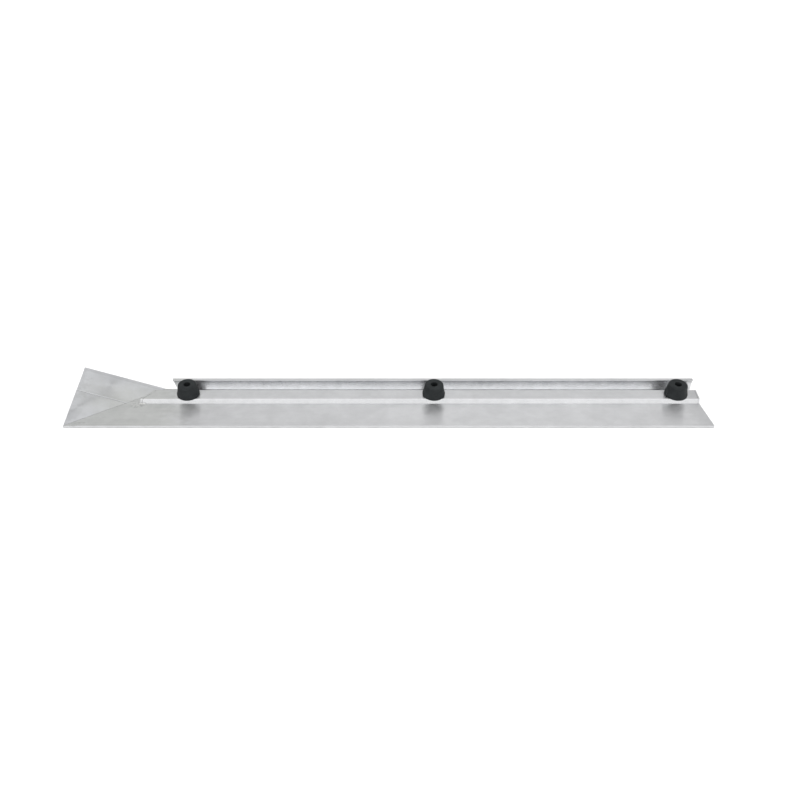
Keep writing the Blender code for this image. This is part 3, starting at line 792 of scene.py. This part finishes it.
def weld_bead_mesh():
    """A rippled bead: a tube whose rings swell and lean once for each drop of filler."""
    first, corner, last = bead_route()
    places = []
    for start, end in ((first, corner), (corner, last)):
        count = max(2, round((end - start).length / BEAD_STEP))
        places += [start.lerp(end, step / count) for step in range(count)]
    places.append(last)
    for pass_number in range(CORNER_PASSES):
        inner = [(a + b * 2 + c) / 4 for a, b, c in zip(places, places[1:], places[2:])]
        places = [places[0], *inner, places[-1]]

    solid = bmesh.new()
    travelled = 0.0
    loops = []
    for index, place in enumerate(places):
        before, after = places[max(index - 1, 0)], places[min(index + 1, len(places) - 1)]
        heading = (after - before).normalized()
        across = heading.cross(Vector((0, 0, 1))).normalized()
        if index:
            travelled += (place - places[index - 1]).length
        ripple = abs(math.sin(math.pi * travelled / RIPPLE_PITCH)) ** 0.6
        to_end = min(index, len(places) - 1 - index) / BEAD_TAPER_RINGS
        inward = min(1.0, to_end + 0.02)
        taper = math.sqrt(inward * (2 - inward))
        girth = BEAD_RADIUS * taper * (0.86 + 0.12 * ripple + 0.10 * noise.noise(place * 420))
        loop = []
        for side in range(BEAD_SIDES):
            angle = 2 * math.pi * side / BEAD_SIDES
            spot = place + (across * math.cos(angle) + Vector((0, 0, 0.8)) * math.sin(angle)) * girth
            spot -= heading * 0.0004 * ripple * math.sin(angle)
            loop.append(solid.verts.new(spot))
        loops.append(loop)
    for one, two in zip(loops, loops[1:]):
        for side in range(BEAD_SIDES):
            after = (side + 1) % BEAD_SIDES
            solid.faces.new((one[side], one[after], two[after], two[side]))
    solid.faces.new(list(reversed(loops[0])))
    solid.faces.new(loops[-1])
    return solid


def spatter_mesh():
    """Flat drops of weld metal on the blade round the rib's front left corner."""
    chance = random.Random(11)
    across_fold = Vector((-FOLD_AXIS.y, FOLD_AXIS.x, 0))
    mitre = Vector((RIB_REAR_CORNER_X - CAP_LOW.x, RIB_HIGH.y - RIB_LOW.y, 0)).normalized()
    out_of_rib = Vector((-mitre.y, mitre.x, 0))
    corner = Vector((CAP_LOW.x, CAP_LOW.y, PLATE_TOP))
    solid = bmesh.new()
    made = 0
    while made < SPATTER_COUNT:
        angle = chance.uniform(math.pi * 0.45, math.pi * 1.95)
        reach = SPATTER_REACH * chance.random() ** 1.3
        size = 0.0004 + 0.0008 * chance.random() ** 2
        spot = corner + Vector((math.cos(angle), math.sin(angle), 0)) * reach
        room = BEAD_RADIUS * 0.5 + size
        past_fold = (spot - FOLD_START).dot(across_fold) > -0.002
        in_rib = (spot - corner).dot(out_of_rib) < room and spot.y > corner.y - room
        if past_fold or in_rib:
            continue
        flat = Matrix.Diagonal((size, size * chance.uniform(0.8, 1.2), size * chance.uniform(0.35, 0.6), 1))
        bmesh.ops.create_icosphere(
            solid, subdivisions=2, radius=1.0, matrix=Matrix.Translation(spot) @ flat
        )
        made += 1
    return solid


def make_welds():
    metal = weld_metal("weld_metal")
    here = Matrix.Identity(4)
    place_piece("rippled_weld_bead", weld_bead_mesh(), here, metal, "weld", "rib_end_weld")
    place_piece("weld_spatter", spatter_mesh(), here, metal, "weld")


# CAD pieces

def smooth_group():
    """Geometry nodes that shade faces smooth and keep edges above the smooth angle sharp."""
    group = bpy.data.node_groups.new("smooth_by_angle", "GeometryNodeTree")
    group.interface.new_socket("Geometry", in_out="INPUT", socket_type="NodeSocketGeometry")
    group.interface.new_socket("Geometry", in_out="OUTPUT", socket_type="NodeSocketGeometry")
    source = group.nodes.new("NodeGroupInput")
    result = group.nodes.new("NodeGroupOutput")
    faces = group.nodes.new("GeometryNodeSetShadeSmooth")
    edges = group.nodes.new("GeometryNodeSetShadeSmooth")
    faces.domain, edges.domain = "FACE", "EDGE"
    edges.inputs["Shade Smooth"].default_value = False
    angle = group.nodes.new("GeometryNodeInputMeshEdgeAngle")
    sharp = group.nodes.new("FunctionNodeCompare")
    sharp.inputs["B"].default_value = SMOOTH_ANGLE
    group.links.new(angle.outputs["Unsigned Angle"], sharp.inputs["A"])
    group.links.new(sharp.outputs["Result"], edges.inputs["Selection"])
    group.links.new(source.outputs["Geometry"], faces.inputs["Geometry"])
    group.links.new(faces.outputs["Geometry"], edges.inputs["Geometry"])
    group.links.new(edges.outputs["Geometry"], result.inputs["Geometry"])
    return group


def settle_group():
    """Geometry nodes that bring a piece's foot down onto the blade it is riveted to."""
    group = bpy.data.node_groups.new("settle_on_blade", "GeometryNodeTree")
    group.interface.new_socket("Geometry", in_out="INPUT", socket_type="NodeSocketGeometry")
    group.interface.new_socket("Geometry", in_out="OUTPUT", socket_type="NodeSocketGeometry")
    source = group.nodes.new("NodeGroupInput")
    result = group.nodes.new("NodeGroupOutput")
    place = group.nodes.new("GeometryNodeInputPosition")
    split = group.nodes.new("ShaderNodeSeparateXYZ")
    low = group.nodes.new("FunctionNodeCompare")
    low.operation = "LESS_THAN"
    low.inputs["B"].default_value = PLATE_TOP + 2 * GAP
    move = group.nodes.new("GeometryNodeSetPosition")
    move.inputs["Offset"].default_value = (0, 0, -SETTLE_DROP)
    group.links.new(place.outputs["Position"], split.inputs["Vector"])
    group.links.new(split.outputs["Z"], low.inputs["A"])
    group.links.new(low.outputs["Result"], move.inputs["Selection"])
    group.links.new(source.outputs["Geometry"], move.inputs["Geometry"])
    group.links.new(move.outputs["Geometry"], result.inputs["Geometry"])
    return group


def finish_cad(node, material, ease, smoothing, settling):
    """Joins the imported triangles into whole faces, eases the edges and shades arcs smooth."""
    item = nodes[node]
    item.data.materials.clear()
    item.data.materials.append(material)
    weld = item.modifiers.new("weld", "WELD")
    weld.merge_threshold = 1e-6
    whole = item.modifiers.new("whole_faces", "DECIMATE")
    whole.decimate_type = "DISSOLVE"
    whole.angle_limit = math.radians(0.5)
    if node.startswith(("raised_rib", "rib_end_cap")):
        item.modifiers.new("settle", "NODES").node_group = settling
    edge = item.modifiers.new("eased_edges", "BEVEL")
    edge.width = ease
    edge.segments = 2
    edge.limit_method = "ANGLE"
    edge.angle_limit = math.radians(40)
    item.modifiers.new("smooth", "NODES").node_group = smoothing
    level = item.modifiers.new("flat_faces_stay_flat", "WEIGHTED_NORMAL")
    level.keep_sharp = True


def finish_cad_pieces():
    smoothing, settling = smooth_group(), settle_group()
    flat = mill_aluminium("mill_aluminium")
    folded = mill_aluminium("mill_aluminium_folded", folded=True)
    ground = weld_metal("ground_weld", 260.0)
    looks = {
        "front_plank": (flat, 0.00015),
        "rear_channel": (flat, 0.00015),
        "wing_front_plate": (folded, 0.00015),
        "wing_rear_plate": (folded, 0.00015),
        "raised_rib": (flat, 0.00015),
        "rib_end_cap_left": (flat, 0.00012),
        "rib_end_cap_right": (flat, 0.00012),
        "mitre_weld": (ground, 0.0002),
        "blade_seam_weld": (ground, 0.0002),
        "wing_seam_weld": (ground, 0.0002),
    }
    for node, (material, ease) in looks.items():
        finish_cad(node, material, ease, smoothing, settling)


make_camera()
make_floor()
make_light()
finish_cad_pieces()
make_buffers()
make_rivets()
make_welds()
